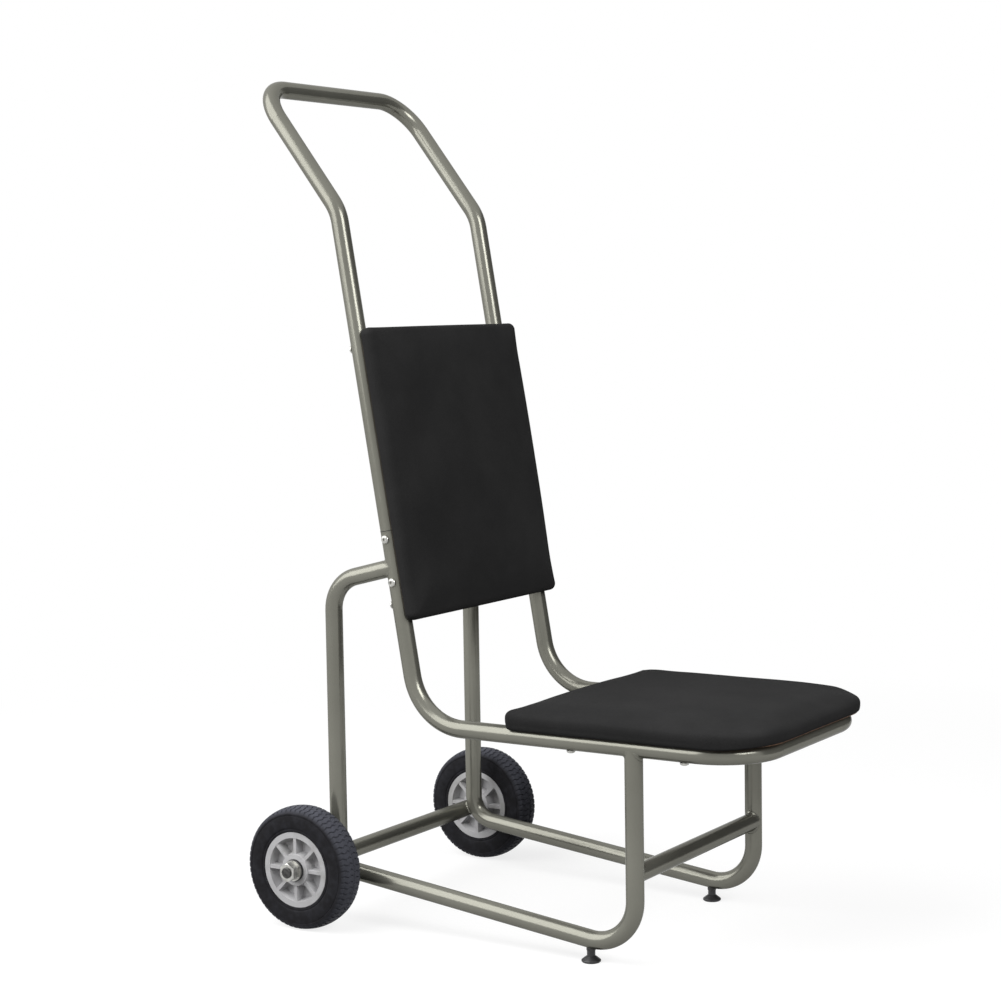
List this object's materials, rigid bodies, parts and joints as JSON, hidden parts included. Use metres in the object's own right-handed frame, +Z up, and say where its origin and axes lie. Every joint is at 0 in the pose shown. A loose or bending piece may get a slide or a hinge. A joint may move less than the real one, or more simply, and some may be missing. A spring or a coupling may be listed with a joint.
{
  "type": "stacking chair trolley",
  "caption": "Bent tube trolley with a padded seat and back, a raised push handle, rear wheels on a cross axle and levelling feet under the front loops.",
  "frame": {"origin": "on the floor, under the middle of the outline seen from above", "axes": "+Z up, +X to the left as seen by a person who sits on the seat, -Y towards the front edge of the seat"},
  "size_m": [0.5666, 0.8208, 1.2326],
  "materials": {
    "frame_metal": "satin metallic grey coat on steel tube",
    "zinc_steel": "bright zinc plate on turned steel",
    "axle_steel": "dark oiled steel rod",
    "tyre_rubber": "black treaded rubber",
    "hub_plastic": "light grey moulded plastic",
    "bush_plastic": "dark moulded nylon",
    "pad_cover": "matte black woven cover over foam",
    "pad_board": "bare plywood with a brown edge",
    "foot_plastic": "black moulded plastic"
  },
  "bodies": {
    "frame": {"seat_frame_tube": "frame_metal", "handle_tube": "frame_metal", "right_side_loop": "frame_metal", "left_side_loop": "frame_metal", "front_cross_tube": "frame_metal", "axle_tube": "frame_metal", "axle_plugs": "zinc_steel", "axle_rod": "axle_steel", "inner_axle_nuts": "zinc_steel", "outer_axle_nuts": "zinc_steel", "axle_washers": "zinc_steel", "handle_screws": "zinc_steel", "seat_board": "pad_board", "seat_cushion": "pad_cover", "seat_screws": "zinc_steel", "seat_tee_nuts": "zinc_steel", "back_board": "pad_board", "back_cushion": "pad_cover", "back_screws": "zinc_steel", "back_tee_nuts": "zinc_steel", "right_foot_boss": "zinc_steel", "left_foot_boss": "zinc_steel"},
    "right_wheel": {"right_tyre": "tyre_rubber", "right_hub": "hub_plastic", "right_hub_bushes": "bush_plastic"},
    "left_wheel": {"left_tyre": "tyre_rubber", "left_hub": "hub_plastic", "left_hub_bushes": "bush_plastic"},
    "right_foot": {"right_foot_pad": "foot_plastic"},
    "right_stem": {"right_foot_stem": "zinc_steel"},
    "left_foot": {"left_foot_pad": "foot_plastic"},
    "left_stem": {"left_foot_stem": "zinc_steel"}
  },
  "joints": [
    {"name": "right_wheel_spin", "type": "hinge", "parent": "frame", "child": "right_wheel", "pos_m": [-0.239, 0.30148, 0.09], "axis": [1, 0, 0], "continuous": true},
    {"name": "left_wheel_spin", "type": "hinge", "parent": "frame", "child": "left_wheel", "pos_m": [0.239, 0.30148, 0.09], "axis": [1, 0, 0], "continuous": true},
    {"name": "right_foot_lift", "type": "slide", "parent": "frame", "child": "right_foot", "axis": [0, 0, -1], "range_m": [0, 0.012]},
    {"name": "right_foot_turn", "type": "hinge", "parent": "right_foot", "child": "right_stem", "pos_m": [-0.1805, -0.14575, 0.02], "axis": [0, 0, -1], "range_deg": [0, 3456]},
    {"name": "left_foot_lift", "type": "slide", "parent": "frame", "child": "left_foot", "axis": [0, 0, -1], "range_m": [0, 0.012]},
    {"name": "left_foot_turn", "type": "hinge", "parent": "left_foot", "child": "left_stem", "pos_m": [0.1805, -0.14575, 0.02], "axis": [0, 0, -1], "range_deg": [0, 3456]}
  ],
  "couplings": [
    {"joint": "right_foot_turn", "follows": "right_foot_lift", "rad_per_m": 5026.5},
    {"joint": "left_foot_turn", "follows": "left_foot_lift", "rad_per_m": 5026.5}
  ]
}
